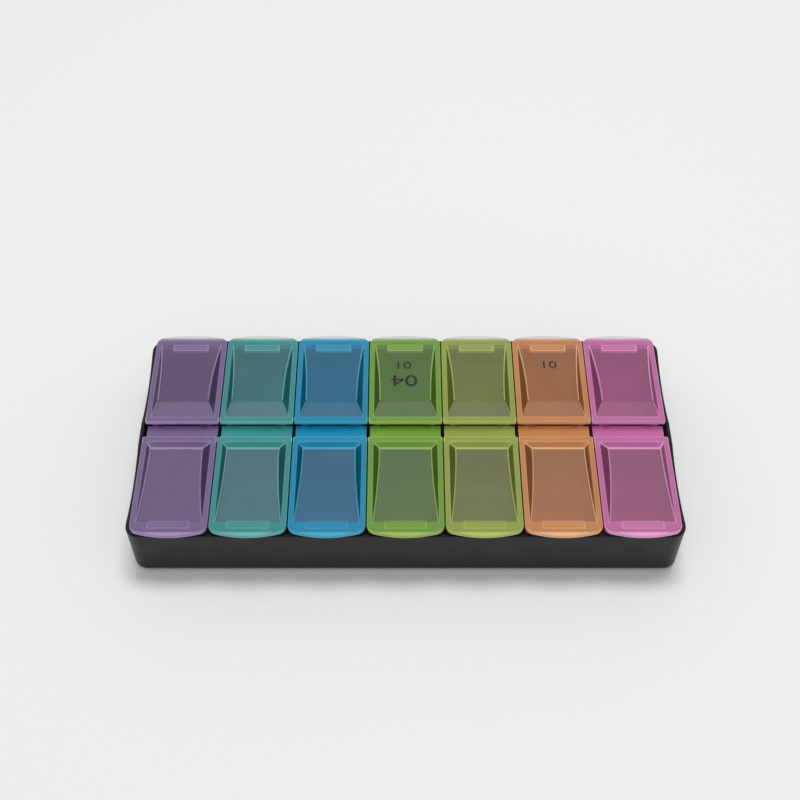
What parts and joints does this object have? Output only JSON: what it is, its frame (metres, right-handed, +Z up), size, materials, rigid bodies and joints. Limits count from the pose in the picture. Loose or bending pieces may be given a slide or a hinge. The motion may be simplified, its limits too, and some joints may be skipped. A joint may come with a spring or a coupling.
{
  "type": "pill organizer",
  "caption": "Shallow rectangular tray holding a row of lift-out coloured cases, each with two scooped compartments under hinged, raised snap lids on a middle bridge.",
  "frame": {"origin": "centre of the tray's footprint, on the table", "axes": "+X along the row of cases, -Y towards the viewer of the picture, +Z up"},
  "size_m": [0.24, 0.1132, 0.0356],
  "materials": {
    "tray_black": "fine satin black",
    "violet_plastic": "tinted translucent gloss",
    "teal_plastic": "tinted translucent gloss",
    "blue_plastic": "tinted translucent gloss",
    "green_plastic": "tinted translucent gloss",
    "lime_plastic": "tinted translucent gloss",
    "orange_plastic": "tinted translucent gloss",
    "pink_plastic": "tinted translucent gloss"
  },
  "bodies": {
    "tray": {"tray": "tray_black"},
    "day_case_1": {"day_case_1": "violet_plastic"},
    "back_lid_1": {"back_lid_1": "violet_plastic"},
    "front_lid_1": {"front_lid_1": "violet_plastic"},
    "day_case_2": {"day_case_2": "teal_plastic"},
    "back_lid_2": {"back_lid_2": "teal_plastic"},
    "front_lid_2": {"front_lid_2": "teal_plastic"},
    "day_case_3": {"day_case_3": "blue_plastic"},
    "back_lid_3": {"back_lid_3": "blue_plastic"},
    "front_lid_3": {"front_lid_3": "blue_plastic"},
    "day_case_4": {"day_case_4": "green_plastic"},
    "back_lid_4": {"back_lid_4": "green_plastic"},
    "front_lid_4": {"front_lid_4": "green_plastic"},
    "day_case_5": {"day_case_5": "lime_plastic"},
    "back_lid_5": {"back_lid_5": "lime_plastic"},
    "front_lid_5": {"front_lid_5": "lime_plastic"},
    "day_case_6": {"day_case_6": "orange_plastic"},
    "back_lid_6": {"back_lid_6": "orange_plastic"},
    "front_lid_6": {"front_lid_6": "orange_plastic"},
    "day_case_7": {"day_case_7": "pink_plastic"},
    "back_lid_7": {"back_lid_7": "pink_plastic"},
    "front_lid_7": {"front_lid_7": "pink_plastic"}
  },
  "joints": [
    {"name": "day_case_1_lift", "type": "slide", "parent": "tray", "child": "day_case_1", "axis": [0, 0, 1], "range_m": [0, 0.036]},
    {"name": "back_lid_1_hinge", "type": "hinge", "parent": "day_case_1", "child": "back_lid_1", "pos_m": [-0.1011, 0.00545, 0.02875], "axis": [1, 0, 0], "range_deg": [0, 75]},
    {"name": "front_lid_1_hinge", "type": "hinge", "parent": "day_case_1", "child": "front_lid_1", "pos_m": [-0.1011, -0.00545, 0.02875], "axis": [-1, 0, 0], "range_deg": [0, 75]},
    {"name": "day_case_2_lift", "type": "slide", "parent": "tray", "child": "day_case_2", "axis": [0, 0, 1], "range_m": [0, 0.036]},
    {"name": "back_lid_2_hinge", "type": "hinge", "parent": "day_case_2", "child": "back_lid_2", "pos_m": [-0.0674, 0.00545, 0.02875], "axis": [1, 0, 0], "range_deg": [0, 75]},
    {"name": "front_lid_2_hinge", "type": "hinge", "parent": "day_case_2", "child": "front_lid_2", "pos_m": [-0.0674, -0.00545, 0.02875], "axis": [-1, 0, 0], "range_deg": [0, 75]},
    {"name": "day_case_3_lift", "type": "slide", "parent": "tray", "child": "day_case_3", "axis": [0, 0, 1], "range_m": [0, 0.036]},
    {"name": "back_lid_3_hinge", "type": "hinge", "parent": "day_case_3", "child": "back_lid_3", "pos_m": [-0.0337, 0.00545, 0.02875], "axis": [1, 0, 0], "range_deg": [0, 75]},
    {"name": "front_lid_3_hinge", "type": "hinge", "parent": "day_case_3", "child": "front_lid_3", "pos_m": [-0.0337, -0.00545, 0.02875], "axis": [-1, 0, 0], "range_deg": [0, 75]},
    {"name": "day_case_4_lift", "type": "slide", "parent": "tray", "child": "day_case_4", "axis": [0, 0, 1], "range_m": [0, 0.036]},
    {"name": "back_lid_4_hinge", "type": "hinge", "parent": "day_case_4", "child": "back_lid_4", "pos_m": [0, 0.00545, 0.02875], "axis": [1, 0, 0], "range_deg": [0, 75]},
    {"name": "front_lid_4_hinge", "type": "hinge", "parent": "day_case_4", "child": "front_lid_4", "pos_m": [0, -0.00545, 0.02875], "axis": [-1, 0, 0], "range_deg": [0, 75]},
    {"name": "day_case_5_lift", "type": "slide", "parent": "tray", "child": "day_case_5", "axis": [0, 0, 1], "range_m": [0, 0.036]},
    {"name": "back_lid_5_hinge", "type": "hinge", "parent": "day_case_5", "child": "back_lid_5", "pos_m": [0.0337, 0.00545, 0.02875], "axis": [1, 0, 0], "range_deg": [0, 75]},
    {"name": "front_lid_5_hinge", "type": "hinge", "parent": "day_case_5", "child": "front_lid_5", "pos_m": [0.0337, -0.00545, 0.02875], "axis": [-1, 0, 0], "range_deg": [0, 75]},
    {"name": "day_case_6_lift", "type": "slide", "parent": "tray", "child": "day_case_6", "axis": [0, 0, 1], "range_m": [0, 0.036]},
    {"name": "back_lid_6_hinge", "type": "hinge", "parent": "day_case_6", "child": "back_lid_6", "pos_m": [0.0674, 0.00545, 0.02875], "axis": [1, 0, 0], "range_deg": [0, 75]},
    {"name": "front_lid_6_hinge", "type": "hinge", "parent": "day_case_6", "child": "front_lid_6", "pos_m": [0.0674, -0.00545, 0.02875], "axis": [-1, 0, 0], "range_deg": [0, 75]},
    {"name": "day_case_7_lift", "type": "slide", "parent": "tray", "child": "day_case_7", "axis": [0, 0, 1], "range_m": [0, 0.036]},
    {"name": "back_lid_7_hinge", "type": "hinge", "parent": "day_case_7", "child": "back_lid_7", "pos_m": [0.1011, 0.00545, 0.02875], "axis": [1, 0, 0], "range_deg": [0, 75]},
    {"name": "front_lid_7_hinge", "type": "hinge", "parent": "day_case_7", "child": "front_lid_7", "pos_m": [0.1011, -0.00545, 0.02875], "axis": [-1, 0, 0], "range_deg": [0, 75]}
  ]
}
